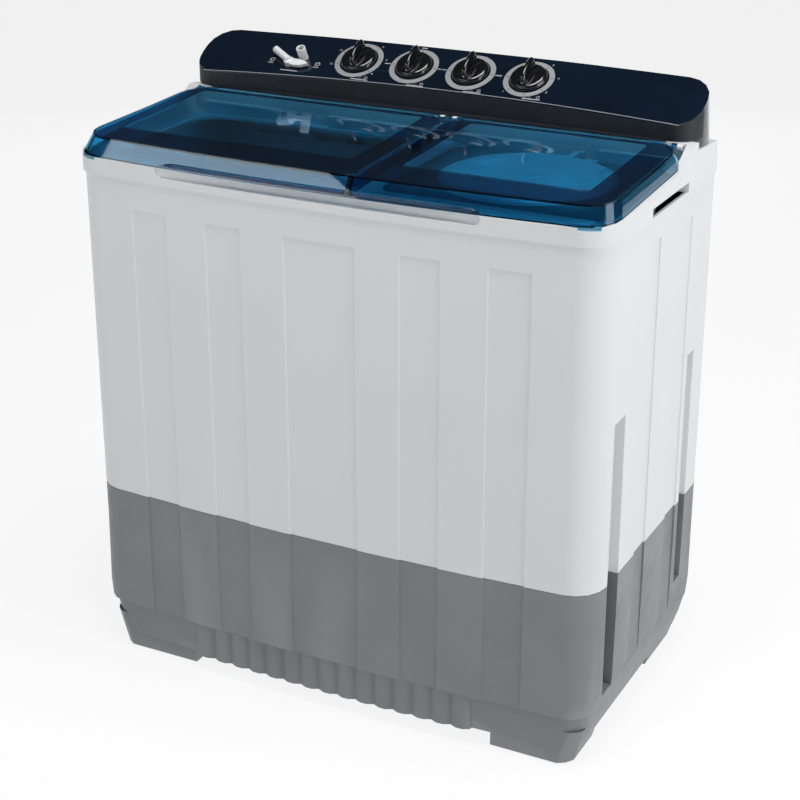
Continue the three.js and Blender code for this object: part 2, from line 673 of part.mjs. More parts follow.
function belt() {
  const dx = MOTOR.x - WASH.x;
  const dy = MOTOR.y - WASH.y;
  const along = Math.atan2(dy, dx);
  const lean = Math.acos((PULLEY_R - MOTOR_PULLEY_R) / Math.hypot(dx, dy));
  const loop = (offset) => {
    const STEPS = 14;
    const points = [];
    const sweep = (cx, cy, radius, from, to, steps) => {
      for (let i = 0; i <= steps; i += 1) {
        const angle = from + ((to - from) * i) / steps;
        points.push([cx + radius * Math.cos(angle), cy + radius * Math.sin(angle)]);
      }
    };
    sweep(WASH.x, WASH.y, PULLEY_R + offset, along + lean, along + 2 * Math.PI - lean, STEPS * 2);
    sweep(MOTOR.x, MOTOR.y, MOTOR_PULLEY_R + offset, along - lean, along + lean, STEPS / 2);
    return points;
  };
  const outside = prism(loop(1.5), PULLEY_Z - 2.6, PULLEY_Z + 2.6);
  return cut(outside, prism(loop(-3.6), PULLEY_Z - 5, PULLEY_Z + 5));
}
part('drive_belt', belt(), RUBBER);
part('motor_capacitor', join(rod(20, -330, -150, 70, 140, 18), rod(8, -330, -150, 139, 148, 10)), SILVER);

// ---------- spin side ----------
function spinOuterTub() {
  const wall = [[0, SPIN.floor - 40], [173, SPIN.floor - 40], [177, SPIN.floor - 30], [177, DECK_Z - 5],
    [173, DECK_Z - 5], [173, SPIN.floor - 30], [168, SPIN.floor - 36], [0, SPIN.floor - 36]];
  const bore = rod(44, SPIN.x, SPIN.y, 340, 390, 20);
  return cut(turned(wall, SPIN.x, SPIN.y, 28), bore);
}
part('spin_outer_tub', spinOuterTub(), WHITE);

function spinBasket() {
  const R = 150;
  const wall = [[0, SPIN.floor], [R - 10, SPIN.floor], [R, SPIN.floor + 12], [R, 812], [R - 3, 812],
    [R - 3, SPIN.floor + 14], [R - 12, SPIN.floor + 4], [0, SPIN.floor + 4]];
  const holes = [];
  const ROWS = 3;
  const HOLES = 4;
  for (let row = 0; row < ROWS; row += 1) {
    for (let i = 0; i < HOLES; i += 1) {
      const hole = rodX(5, R - 20, R + 20, 0, SPIN.floor + 90 + row * 120, 6);
      holes.push(hole.rotate([0, 0, (360 * (i + row / 2)) / HOLES]).translate(SPIN.x, SPIN.y, 0));
    }
  }
  return cut(turned(wall, SPIN.x, SPIN.y, 28), ...holes, rod(9, SPIN.x, SPIN.y, 390, 430, 14));
}
part('spin_basket', spinBasket(), NATURAL);
part('basket_balance_ring', ring(152, 130, SPIN.x, SPIN.y, 812.4, 834, 28), NATURAL);
part('spin_shaft', rod(8, SPIN.x, SPIN.y, 272, SPIN.floor + 30, 14), STEEL);
part(
  'brake_drum',
  cut(rod(62, SPIN.x, SPIN.y, 306, 332, 28), rod(8.4, SPIN.x, SPIN.y, 300, 340, 14)),
  GALVANISED,
);
const BELLOWS = [
  [9, 372],
  [40, 358],
  [50, 358],
  [50, 364.6],
  [43, 364.6],
  [43, 372],
  [16, 390],
  [9, 390],
  [9, 372],
];
part('spin_bellows_seal', turned(BELLOWS, SPIN.x, SPIN.y, 24), RUBBER);
part(
  'spin_motor',
  cut(motorCase(SPIN.x, SPIN.y, 140, 290, 66), rod(8.5, SPIN.x, SPIN.y, 268, 295, 14)),
  STEEL,
);

// coil springs that carry the spin motor
function coil(x, y, low, high) {
  const TURNS = 4;
  const STEPS = 7 * TURNS;
  const RADIUS = 13;
  const WIRE = 2.2;
  const points = [];
  for (let i = 0; i <= STEPS; i += 1) {
    const angle = (i / STEPS) * TURNS * 2 * Math.PI;
    const z = low + WIRE + ((high - low - 2 * WIRE) * i) / STEPS;
    points.push(new THREE.Vector3(x + RADIUS * Math.cos(angle), y + RADIUS * Math.sin(angle), z));
  }
  const SECTION_SIDES = 5;
  const corners = [];
  for (let i = 0; i < SECTION_SIDES; i += 1) {
    const angle = (i * 2 * Math.PI) / SECTION_SIDES;
    corners.push(new THREE.Vector2(WIRE * Math.cos(angle), WIRE * Math.sin(angle)));
  }
  const section = new THREE.Shape(corners);
  const path = new THREE.CatmullRomCurve3(points);
  return solid(new THREE.ExtrudeGeometry(section, { steps: STEPS, extrudePath: path }));
}
const SPRING_CIRCLE = 40; // the springs stand on this radius round the spin axis
[['front', -90], ['rear_left', 150], ['rear_right', 30]].forEach(([name, degrees]) => {
  const angle = (degrees * Math.PI) / 180;
  const x = SPIN.x + SPRING_CIRCLE * Math.cos(angle);
  const y = SPIN.y + SPRING_CIRCLE * Math.sin(angle);
  part(`spin_motor_spring_${name}`, coil(x, y, FOOT_TOP + 7, 139), STEEL);
});

// the brake band lever beside the drum turns on a post moulded under the spin tub
const BRAKE = { x: SPIN.x + 92, y: SPIN.y - 60, low: 312, high: 322 };
function brakeLever() {
  const pivot = rod(9, BRAKE.x, BRAKE.y, BRAKE.low, BRAKE.high, 14);
  const arm = box(BRAKE.x - 6, BRAKE.x + 6, BRAKE.y, SPIN.y + 30, BRAKE.low, BRAKE.high);
  const shoe = box(BRAKE.x - 26, BRAKE.x, SPIN.y - 12, SPIN.y + 12, BRAKE.low - 2, BRAKE.high + 2);
  const clear = rod(62.6, SPIN.x, SPIN.y, 300, 340, 28);
  return cut(join(pivot, arm, shoe), clear, rod(4.4, BRAKE.x, BRAKE.y, 300, 340, 12));
}
part('brake_lever', brakeLever(), GALVANISED);

// ---------- drain valve under the wash tub ----------
const VALVE = { x: -330, y: 140 };
part(
  'drain_valve_body',
  cut(
    join(
      rod(24, VALVE.x, VALVE.y, 300, 371.4, 20),
      rodY(15, VALVE.y, VALVE.y + 45, VALVE.x, 318, 14),
    ),
    rod(19, VALVE.x, VALVE.y, 306, 400, 20),
    rodY(11, VALVE.y, VALVE.y + 60, VALVE.x, 318, 14),
    rod(4.6, VALVE.x, VALVE.y, 290, 320, 12),
  ),
  NATURAL,
);
part(
  'drain_valve_plunger',
  join(
    rod(17, VALVE.x, VALVE.y, 340, 350, 18),
    rod(4, VALVE.x, VALVE.y, 276, 341, 12),
    rod(8, VALVE.x, VALVE.y, 272, 278, 12),
  ),
  RUBBER,
);

// ---------- console ----------
const TILT = Math.atan2(FACE_TOP_Z - FACE_Z, FACE_TOP_Y - FACE_Y);
const SKIN = 6; // fascia thickness
const faceHeight = (y) => FACE_Z + Math.tan(TILT) * (y - FACE_Y);

function consoleBlock(inset, sink) {
  const drop = sink / Math.cos(TILT);
  const body = (z, rear) => ({
    points: plan({
      halfX: HALF_WIDTH - inset,
      front: -(CONSOLE_Y + sink),
      rear: rear - inset,
      radius: Math.min(42, 42 - inset),
      bow: CONSOLE_Y - FACE_Y,
      rearBow: 9,
    }),
    z,
  });
  const profile = [
    [80, 897 + inset], [106.5 + inset, 897 + inset], [106.5 + inset, 884.5 + inset], [240, 884.5 + inset],
    [240, 940 - drop], [FACE_TOP_Y + 6, FACE_TOP_Z - drop], [FACE_TOP_Y, FACE_TOP_Z - drop],
    [80, faceHeight(80) - drop],
  ];
  return loft([body(870, 205), body(990, 180)]).intersect(prismX(profile, -460, 460));
}

const FACE_KNOB_V = 48; // distance of the knob centres up the face
const INLET = { x: -249, v: 39 };
const SELECTOR = { x: -268, v: 22 };
const face = new THREE.Group();
face.position.set(0, FACE_Y, FACE_Z);
face.rotation.x = TILT;
group.add(face);

// turns a solid made in face coordinates (x, up the face, out of the face) into the object's frame
const fromFace = (body) => body.rotate([(TILT * 180) / Math.PI, 0, 0]).translate(0, FACE_Y, FACE_Z);

function consoleFascia() {
  const block = consoleBlock(0, 0);
  const behind = consoleBlock(-8, SKIN);
  const spindles = KNOB_X.map((x) => rod(5.4, x, FACE_KNOB_V, -30, 20, 12));
  const inlet = rod(8.2, INLET.x, INLET.v, -30, 20, 14);
  const pivot = rod(4.4, SELECTOR.x, SELECTOR.v, -30, 20, 12);
  return cut(block, behind, ...[...spindles, inlet, pivot].map(fromFace));
}
part('console_fascia', consoleFascia(), NAVY);

function consoleHousing() {
  const body = consoleBlock(0, SKIN + GAP);
  const room = consoleBlock(4, SKIN + 3);
  const open = fromFace(box(-400, 400, 12, 78, -30, 0));
  const wires = box(-170, 170, 125, 175, 880, 895);
  return cut(body, room, open, wires, rod(9, INLET.x, 140, 870, 900, 14));
}
part('console_housing', consoleHousing(), NAVY);

// switch bodies behind the fascia
function switchBody(x, depth, half) {
  const top = -SKIN - GAP;
  const body = box(x - half, x + half, FACE_KNOB_V - half, FACE_KNOB_V + half, top - depth, top);
  return cut(body, rod(4.6, x, FACE_KNOB_V, top - 14, top + 5, 12));
}
part('wash_timer', switchBody(KNOB_X[0], 32, 24), NATURAL, face);
part('wash_selector_switch', switchBody(KNOB_X[1], 20, 18), NATURAL, face);
part('spin_timer', switchBody(KNOB_X[3], 32, 24), NATURAL, face);

// a knob: skirt, grip bar with sloping ends, and the spindle that it turns
function knob(x) {
  const skirt = turned([[0, 0.5], [30, 0.5], [30, 4], [27, 8], [24, 9.5], [0, 9.5]], 0, 0, 20);
  const bar = prismX([[-27, 6], [27, 6], [25, 26], [12, 29], [-14, 27], [-26, 18]], -6.5, 6.5);
  const spindle = rod(4, 0, 0, -18, 2, 12);
  return join(skirt, bar, spindle).translate(x, FACE_KNOB_V, 0);
}
['wash_timer_knob', 'wash_selector_knob', 'drain_selector_knob', 'spin_timer_knob'].forEach((name, i) => {
  part(name, knob(KNOB_X[i]), BLACK, face);
});

part(
  'inlet_port',
  cut(rod(7.8, INLET.x, INLET.v, -8, 22, 16), rod(5.6, INLET.x, INLET.v, -20, 30, 16)),
  WHITE,
  face,
);

function inletSelector() {
  const hub = rod(8, 0, 0, 0.5, 9, 16);
  const pin = rod(3.8, 0, 0, -6, 2, 12);
  const arm = rodX(6, -40, 2, 0, 9, 12).rotate([0, 0, -32]);
  const leaf = prism([[0, -7], [14, -10], [26, -9], [38, -2], [26, 4], [10, 6], [0, 6]], 3, 8);
  return join(hub, pin, arm, leaf).translate(SELECTOR.x, SELECTOR.v, 0);
}
part('inlet_selector', inletSelector(), WHITE, face);

group.updateMatrixWorld(true);
export default group;
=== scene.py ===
"""Twin tub washing machine: the finished surfaces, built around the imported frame.

Metres, +X right, +Y rear, +Z up. The front faces -Y and the floor is z = 0.
"""
import json
import math

import bmesh
import bpy
from mathutils import Matrix, Vector


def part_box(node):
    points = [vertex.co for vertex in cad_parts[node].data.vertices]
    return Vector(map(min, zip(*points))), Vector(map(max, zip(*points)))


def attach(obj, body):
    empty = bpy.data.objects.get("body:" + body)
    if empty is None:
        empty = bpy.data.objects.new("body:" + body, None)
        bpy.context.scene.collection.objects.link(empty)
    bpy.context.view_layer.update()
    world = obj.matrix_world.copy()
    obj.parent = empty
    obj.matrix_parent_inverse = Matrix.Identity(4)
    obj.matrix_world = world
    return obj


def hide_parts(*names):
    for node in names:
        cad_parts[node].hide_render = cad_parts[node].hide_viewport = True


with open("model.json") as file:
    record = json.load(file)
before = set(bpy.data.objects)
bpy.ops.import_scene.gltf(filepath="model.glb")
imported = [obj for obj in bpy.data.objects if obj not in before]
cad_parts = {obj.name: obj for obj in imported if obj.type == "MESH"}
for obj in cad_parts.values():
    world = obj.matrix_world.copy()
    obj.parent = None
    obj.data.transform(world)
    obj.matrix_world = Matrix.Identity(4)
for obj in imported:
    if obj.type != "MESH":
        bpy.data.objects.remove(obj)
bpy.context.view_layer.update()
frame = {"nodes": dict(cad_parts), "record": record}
MM = 0.001

RECORD = frame["record"]
BODY_OF = {node: body for body, nodes in RECORD["behaviour"]["bodies"].items() for node in nodes}
SLOT_OF = {row["node"]: row["material_slot"] for row in RECORD["subparts"]}

# driving dimensions that the visual pieces share with the frame
HALF_WIDTH = 440 * MM
FRONT_BOW = 18 * MM  # how far the middle of the cabinet front bulges
FACE_Y, FACE_Z = 105 * MM, 930 * MM  # lower edge of the console face, at the middle
FACE_BOW = 17 * MM  # how far that edge curves back from its two ends
TILT = math.atan2(977 - 930, 190 - 105)
KNOB_X = [-150 * MM, -50 * MM, 50 * MM, 150 * MM]
KNOB_V = 48 * MM  # knob centres, up the face
DECK_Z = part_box("spin_inner_lid")[0][2]  # underside of the inner lid, just over the deck
INNER_LID = Vector((238 * MM, -55 * MM, 0))  # axis of the round inner lid


# ---------- camera, light and floor ----------
def place_camera():
    azimuth, elevation = math.radians(27.15), math.radians(21.67)
    distance = 2.919
    target = Vector((0, 0, 0.5))
    back = Vector((math.sin(azimuth) * math.cos(elevation),
                   -math.cos(azimuth) * math.cos(elevation),
                   math.sin(elevation)))
    data = bpy.data.cameras.new("camera")
    data.sensor_width = 36
    data.lens = 81.3
    data.shift_y = -0.044
    camera = bpy.data.objects.new("camera", data)
    camera.location = target + back * distance
    camera.rotation_euler = back.to_track_quat("Z", "Y").to_euler()
    bpy.context.scene.collection.objects.link(camera)
    bpy.context.scene.camera = camera


def soft_light(name, location, target, size, power):
    data = bpy.data.lights.new(name, "AREA")
    data.shape = "RECTANGLE"
    data.size, data.size_y = size
    data.energy = power
    light = bpy.data.objects.new(name, data)
    light.location = location
    direction = Vector(location) - Vector(target)
    light.rotation_euler = direction.to_track_quat("Z", "Y").to_euler()
    bpy.context.scene.collection.objects.link(light)


def place_lights():
    soft_light("key_right", (3.0, -0.3, 1.7), (0, 0, 0.5), (2.2, 2.2), 48)
    soft_light("front", (-1.9, -3.3, 0.9), (0, -0.1, 0.5), (1.8, 1.1), 8)
    soft_light("strip", (-1.37, -2.26, 2.75), (0, -0.2, 0.87), (2.6, 0.45), 13)
    soft_light("top", (0.5, -0.4, 3.3), (0.1, -0.2, 0.85), (2.0, 1.1), 62)
    soft_light("rear", (-1.6, 3.4, 1.0), (0, 0.2, 0.5), (2.4, 1.0), 14)
    world = bpy.data.worlds.new("studio")
    bpy.context.scene.world = world
    world.use_nodes = True
    background = world.node_tree.nodes["Background"]
    background.inputs["Color"].default_value = (0.80, 0.90, 1.0, 1)
    background.inputs["Strength"].default_value = 0.03
    bpy.context.scene.view_settings.view_transform = "Standard"


# ---------- materials ----------
class Nodes:
    """Small helper round a material's node tree."""

    def __init__(self, name):
        self.material = bpy.data.materials.new(name)
        self.material.use_nodes = True
        self.tree = self.material.node_tree
        self.shader = self.tree.nodes["Principled BSDF"]
        self.place = self.tree.nodes.new("ShaderNodeTexCoord").outputs["Object"]

    def noise(self, scale, detail=3.0, stretch=None):
        node = self.tree.nodes.new("ShaderNodeTexNoise")
        node.inputs["Scale"].default_value = scale
        node.inputs["Detail"].default_value = detail
        source = self.place
        if stretch:
            mapping = self.tree.nodes.new("ShaderNodeMapping")
            mapping.inputs["Scale"].default_value = stretch
            self.tree.links.new(source, mapping.inputs["Vector"])
            source = mapping.outputs["Vector"]
        self.tree.links.new(source, node.inputs["Vector"])
        return node.outputs["Fac"]

    def between(self, value, low, high, start=0.3, end=0.7):
        node = self.tree.nodes.new("ShaderNodeMapRange")
        node.inputs["From Min"].default_value = start
        node.inputs["From Max"].default_value = end
        node.inputs["To Min"].default_value = low
        node.inputs["To Max"].default_value = high
        self.tree.links.new(value, node.inputs["Value"])
        return node.outputs["Result"]

    def blend(self, factor, dark, light):
        node = self.tree.nodes.new("ShaderNodeMix")
        node.data_type = "RGBA"
        node.inputs["A"].default_value = (*dark, 1)
        node.inputs["B"].default_value = (*light, 1)
        self.tree.links.new(factor, node.inputs["Factor"])
        return node.outputs["Result"]

    def bump(self, height, strength, distance):
        node = self.tree.nodes.new("ShaderNodeBump")
        node.inputs["Strength"].default_value = strength
        node.inputs["Distance"].default_value = distance
        self.tree.links.new(height, node.inputs["Height"])
        self.tree.links.new(node.outputs["Normal"], self.shader.inputs["Normal"])

    def feed(self, socket, output):
        self.tree.links.new(output, self.shader.inputs[socket])

    def edge_wear(self):
        geometry = self.tree.nodes.new("ShaderNodeNewGeometry")
        return self.between(geometry.outputs["Pointiness"], 0, 1, 0.52, 0.62)


def scaled(color, factor):
    return tuple(min(1.0, channel * factor) for channel in color)


def moulded(name, color, roughness, grain=1400, bump=0.12, spread=0.05, coat=0.0, wear=1.06):
    """Injection moulded plastic: slow colour drift, faint mould grain, rubbed edges."""
    nodes = Nodes(name)
    drift = nodes.between(nodes.noise(7, 4), 0, 1)
    base = nodes.blend(drift, scaled(color, 1 - spread), scaled(color, 1 + spread))
    mix = nodes.tree.nodes.new("ShaderNodeMix")
    mix.data_type = "RGBA"
    mix.inputs["B"].default_value = (*scaled(color, wear), 1)
    nodes.tree.links.new(nodes.edge_wear(), mix.inputs["Factor"])
    nodes.tree.links.new(base, mix.inputs["A"])
    nodes.feed("Base Color", mix.outputs["Result"])
    nodes.feed("Roughness", nodes.between(nodes.noise(38, 5), roughness * 0.88, roughness * 1.14))
    nodes.bump(nodes.noise(grain, 2), bump, 0.0002)
    nodes.shader.inputs["Coat Weight"].default_value = coat
    nodes.shader.inputs["Coat Roughness"].default_value = 0.06
    nodes.shader.inputs["IOR"].default_value = 1.5
    return nodes.material


def clear(name, color, roughness=0.015, depth=0.1):
    """Clear tinted plastic with a faint moulding ripple."""
    nodes = Nodes(name)
    drift = nodes.between(nodes.noise(5, 3), 0, 1)
    nodes.feed("Base Color", nodes.blend(drift, scaled(color, 0.97), scaled(color, 1.03)))
    nodes.feed("Roughness", nodes.between(nodes.noise(60, 4), roughness * 0.7, roughness * 1.6))
    nodes.bump(nodes.noise(12, 2), depth, 0.0004)
    nodes.shader.inputs["Transmission Weight"].default_value = 1.0
    nodes.shader.inputs["IOR"].default_value = 1.49
    return nodes.material


def metal(name, color, roughness, brushed=(1, 1, 30)):
    """Bare metal with streaks; brushed stretches them along an axis."""
    nodes = Nodes(name)
    streaks = nodes.noise(60, 5, brushed)
    share = nodes.between(streaks, 0, 1)
    nodes.feed("Base Color", nodes.blend(share, scaled(color, 0.86), scaled(color, 1.1)))
    nodes.feed("Roughness", nodes.between(streaks, roughness * 0.75, roughness * 1.3))
    nodes.bump(streaks, 0.12, 0.0002)
    nodes.shader.inputs["Metallic"].default_value = 1.0
    return nodes.material


def rubber(name, color):
    """Matt rubber with a dusty bloom."""
    nodes = Nodes(name)
    bloom = nodes.between(nodes.noise(25, 4), 0, 1)
    nodes.feed("Base Color", nodes.blend(bloom, color, scaled(color, 1.8)))
    nodes.feed("Roughness", nodes.between(nodes.noise(90, 3), 0.7, 0.92))
    nodes.bump(nodes.noise(900, 3), 0.3, 0.0003)
    return nodes.material


def make_materials():
    """Every finish by name; a piece's slot in the record is the same name unless it says another."""
    white = (0.74, 0.75, 0.765)
    return {
        "white": moulded("white_plastic", white, 0.34, bump=0.10, spread=0.012, wear=1.03),
        # painted shade: the white plastic at about a third of its brightness, for the shade on the deck
        # round the inner lid
        "white_painted_shade": moulded("white_plastic_painted_shade", (0.24, 0.25, 0.265), 0.5, bump=0.14, spread=0.03),
        # painted light: the white plastic made lighter for the inner lid, its ribs, rim and hub, so they
        # read brighter than the deck
        "white_painted_light": moulded(
            "white_plastic_lid_painted_light", (0.84, 0.85, 0.86), 0.3, bump=0.06, spread=0.01, wear=1.02),
        "grey": moulded(
            "grey_plastic", (0.205, 0.213, 0.228), 0.5, grain=1000, bump=0.28, spread=0.06, wear=1.25),
        "navy": moulded(
            "navy_gloss", (0.0035, 0.0085, 0.019), 0.09, grain=300, bump=0.02, spread=0.2, coat=0.6,
            wear=1.6),
        # painted shade: black sheet for the strip over the glossy wall under the console and its foot,
        # keeping that wall dark
        "black_painted_shade": moulded(
            "black_plastic_painted_shade", (0.0035, 0.006, 0.010), 0.5, grain=900, bump=0.1, wear=1.5),
        "knob_black": moulded(
            "knob_black_gloss", (0.006, 0.006, 0.007), 0.13, grain=500, bump=0.03, coat=0.5, wear=3.0),
        "silver": moulded("silver_print", (0.30, 0.305, 0.315), 0.38, grain=2200, bump=0.06, spread=0.05),
        "print": moulded("print_ink", (0.42, 0.43, 0.45), 0.45, grain=2500, bump=0.03, spread=0.02),
        "natural": moulded("natural_plastic", (0.70, 0.71, 0.69), 0.4, bump=0.12, spread=0.03),
        "lid_blue": clear("lid_blue_clear", (0.145, 0.565, 0.83)),
        "lid_dark": clear("lid_smoke_clear", (0.16, 0.30, 0.42), 0.03),
        "rubber": rubber("black_rubber", (0.018, 0.018, 0.019)),
        "steel": metal("machined_steel", (0.56, 0.57, 0.59), 0.28),
        "galvanised": metal("zinc_plate", (0.48, 0.49, 0.51), 0.42, (1, 1, 1)),
    }


# ---------- piece helpers ----------
def add_piece(name, vertices, faces, material, body="root", bevel=0.0, segments=2, smooth=40):
    """A closed mesh with its finish, edge rounding and body; smooth is the sharp edge angle."""
    mesh = bpy.data.meshes.new(name)
    mesh.from_pydata([tuple(v) for v in vertices], [], faces)
    mesh.validate()
    piece = bpy.data.objects.new(name, mesh)
    bpy.context.scene.collection.objects.link(piece)
    work = bmesh.new()
    work.from_mesh(mesh)
    bmesh.ops.recalc_face_normals(work, faces=work.faces)
    work.to_mesh(mesh)
    work.free()
    for polygon in mesh.polygons:
        polygon.use_smooth = True
    mesh.materials.clear()
    mesh.materials.append(MATERIALS[material])
    if bevel:
        rounding = piece.modifiers.new("rounded_edges", "BEVEL")
        rounding.width = bevel
        rounding.segments = segments
        rounding.limit_method = "ANGLE"
        rounding.angle_limit = math.radians(smooth)
        rounding.use_clamp_overlap = True
    else:
        mesh.set_sharp_from_angle(angle=math.radians(smooth))
    weighted = piece.modifiers.new("even_shading", "WEIGHTED_NORMAL")
    weighted.keep_sharp = True
    weighted.weight = 60
    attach(piece, body)
    return piece


def refined(node, material=None, bevel=1.0 * MM, segments=3, smooth=32):
    """A copy of a frame node with its facets joined and every hard edge rounded."""
    source = frame["nodes"][node]
    work = bmesh.new()
    work.from_mesh(source.data)
    bmesh.ops.remove_doubles(work, verts=work.verts, dist=0.02 * MM)
    bmesh.ops.dissolve_limit(work, angle_limit=math.radians(0.6), verts=work.verts, edges=work.edges)
    work.verts.ensure_lookup_table()
    vertices = [v.co.copy() for v in work.verts]
    faces = [[v.index for v in face.verts] for face in work.faces]
    work.free()
    piece = add_piece(f"{node}_finished", vertices, faces, material or SLOT_OF[node], BODY_OF[node],
                      bevel, segments, smooth)
    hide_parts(node)
    return piece


def face_point(x, v, out):
    """A point on the console face: x across, v up the slope, out along its normal."""
    return Vector((x,
                   FACE_Y + v * math.cos(TILT) - out * math.sin(TILT),
                   FACE_Z + v * math.sin(TILT) + out * math.cos(TILT)))


def ring_loop(radius, count):
    """Points round a circle about the origin."""
    angles = [2 * math.pi * i / count for i in range(count)]
    return [(radius * math.cos(angle), radius * math.sin(angle)) for angle in angles]


def bridge(loops, closed_ends=False, wrap=False):
    """Faces between loops of equal length; wrap joins the last loop to the first."""
    count = len(loops[0])
    vertices = [point for loop in loops for point in loop]
    faces = []
    spans = len(loops) if wrap else len(loops) - 1
    for level in range(spans):
        low, high = level * count, ((level + 1) % len(loops)) * count
        for i in range(count):
            j = (i + 1) % count
            faces.append((low + i, low + j, high + j, high + i))
    if closed_ends:
        faces.append(tuple(reversed(range(count))))
        faces.append(tuple(range((len(loops) - 1) * count, len(loops) * count)))
    return vertices, faces


def rounded_loop(x0, x1, y0, y1, radius, steps=6, along=8):
    """Rounded rectangle as a loop with the same number of points for any size."""
    corners = [(x1 - radius, y1 - radius, 0), (x0 + radius, y1 - radius, 1),
               (x0 + radius, y0 + radius, 2), (x1 - radius, y0 + radius, 3)]
    points = []
    for index, (cx, cy, quarter) in enumerate(corners):
        for i in range(steps + 1):
            angle = (quarter + i / steps) * math.pi / 2
            points.append((cx + radius * math.cos(angle), cy + radius * math.sin(angle)))
        start = points[-1]
        nx, ny, next_quarter = corners[(index + 1) % 4]
        angle = next_quarter * math.pi / 2
        end = (nx + radius * math.cos(angle), ny + radius * math.sin(angle))
        for i in range(1, along):
            t = i / along
            points.append((start[0] + (end[0] - start[0]) * t, start[1] + (end[1] - start[1]) * t))
    return points


def interpolate(table, value):
    for (x0, y0), (x1, y1) in zip(table, table[1:]):
        if value <= x1:
            return y0 + (y1 - y0) * max(0, value - x0) / (x1 - x0)
    return table[-1][1]


def front_shift(x):
    return FRONT_BOW * max(0.0, 1 - (x / HALF_WIDTH) ** 2)


# ---------- the CAD nodes, each with rounded edges ----------
BEVELS = {
    "base_shell": 1.6, "upper_cabinet": 1.6, "top_deck": 1.5, "wash_lid": 1.6, "spin_lid": 1.6,
    "console_fascia": 1.6, "console_housing": 1.4, "spin_inner_lid": 1.2, "wash_tub": 2.0,
    "spin_outer_tub": 1.5, "spin_basket": 0.8, "pulsator": 2.0, "inlet_selector": 1.6, "inlet_port": 0.8,
    "wash_motor": 2.0, "spin_motor": 2.0, "rear_cover": 0.7, "overflow_cover": 1.0,
    "basket_balance_ring": 3.0,
}  # edge rounding in millimetres
SMALL_BEVEL = 0.4  # for every node that isn't listed
KNOB_NODES = ["wash_timer_knob", "wash_selector_knob", "drain_selector_knob", "spin_timer_knob"]


def finish_nodes():
    for node in frame["nodes"]:
        if node in KNOB_NODES:
            continue
        # the inner lid takes the lighter white, painted light
        material = "white_painted_light" if node == "spin_inner_lid" else None
        refined(node, material, BEVELS.get(node, SMALL_BEVEL) * MM)


# ---------- knobs ----------
def knob_grip(x, name, body):
    """The raised bar of a knob: crowned along its length and pinched in the middle."""
    LENGTH, WIDTH, TOP = 26 * MM, 6.2 * MM, 28.4 * MM
    SECTIONS = 15
    FRONT_DROP, REAR_DROP = 0.34, 0.14
    foot = 7 * MM
    loops = []
    for i in range(SECTIONS):
        t = -1 + 2 * i / (SECTIONS - 1)
        v = LENGTH * t * 0.985
        half = WIDTH * (0.80 + 0.20 * t * t) * math.sqrt(max(0.05, 1 - abs(t) ** 7))
        height = TOP * (1 - FRONT_DROP * max(0, -t) ** 2.2 - REAR_DROP * max(0, t) ** 3)
        profile = [(-half * 1.2, foot), (-half * 1.02, height * 0.55), (-half * 0.86, height * 0.9),
                   (-half * 0.5, height * 0.985), (0, height), (half * 0.5, height * 0.985),
                   (half * 0.86, height * 0.9), (half * 1.02, height * 0.55), (half * 1.2, foot)]
        loops.append([face_point(x + px, KNOB_V + v, pz) for px, pz in profile])
    vertices, faces = bridge(loops, closed_ends=True)
    piece = add_piece(f"{name}_grip", vertices, faces, "knob_black", body, smooth=60)
    level = piece.modifiers.new("smooth_form", "SUBSURF")
    level.levels = level.render_levels = 1
    return piece


def knob_skirt(x, name, body):
    """The round skirt and its spindle, turned from [radius, height above the face] in millimetres."""
    SIDES = 64
    profile = [
        (4, -18), (4, 0.6), (29.4, 0.6), (30, 1.4), (30, 3.6),
        (28.6, 6.4), (26.8, 8.2), (24, 9.2), (20, 9.5), (0.4, 9.6),
    ]
    loops = []
    for radius, out in profile:
        loop = ring_loop(radius * MM, SIDES)
        loops.append([face_point(x + px, KNOB_V + py, out * MM) for px, py in loop])
    vertices, faces = bridge(loops, closed_ends=True)
    return add_piece(f"{name}_skirt", vertices, faces, "knob_black", body, smooth=50)


def knob_mark(x, name, body):
    """A small pale dot at the pointing end of the grip."""
    REACH, HEIGHT = 24.6, 13.5 * MM
    loops = []
    for radius, lift in ((1.9, 0.0), (1.9, 0.5), (1.2, 0.9)):
        loop = ring_loop(radius * MM, 20)
        loops.append([face_point(x + px, KNOB_V - (REACH + lift) * MM, HEIGHT + py) for px, py in loop])
    vertices, faces = bridge(loops, closed_ends=True)
    return add_piece(f"{name}_mark", vertices, faces, "print", body, smooth=50)


def make_knobs():
    for x, node in zip(KNOB_X, KNOB_NODES):
        skirt = knob_skirt(x, node, BODY_OF[node])
        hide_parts(node)
        knob_grip(x, node, BODY_OF[node])
        knob_mark(x, node, BODY_OF[node])


# ---------- console print ----------
PRINT_LOW, PRINT_HIGH = 0.04 * MM, 0.35 * MM


def face_slab(name, outline, material="print", low=PRINT_LOW, high=PRINT_HIGH):
    """A thin printed or inlaid shape on the console face from (x, v) points."""
    loops = [[face_point(x, v, out) for x, v in outline] for out in (low, high)]
    vertices, faces = bridge(loops, closed_ends=True)
    return add_piece(name, vertices, faces, material, "root", smooth=40)


def face_ring(name, x, v, outer, inner, material="silver", count=96):
    """A flat printed ring on the console face."""
    sizes = [(inner, PRINT_LOW), (outer, PRINT_LOW), (outer, PRINT_HIGH), (inner, PRINT_HIGH)]
    loops = []
    for radius, out in sizes:
        loops.append([face_point(x + px, v + py, out) for px, py in ring_loop(radius, count)])
    vertices, faces = bridge(loops, wrap=True)
    return add_piece(name, vertices, faces, material, "root", smooth=40)


def bar(x, v, half_x, half_v, turn=0.0):
    """Outline of a rectangle on the face, turned about its middle."""
    points = []
    for px, pv in ((half_x, half_v), (-half_x, half_v), (-half_x, -half_v), (half_x, -half_v)):
        points.append((x + px * math.cos(turn) - pv * math.sin(turn),
                       v + px * math.sin(turn) + pv * math.cos(turn)))
    return points


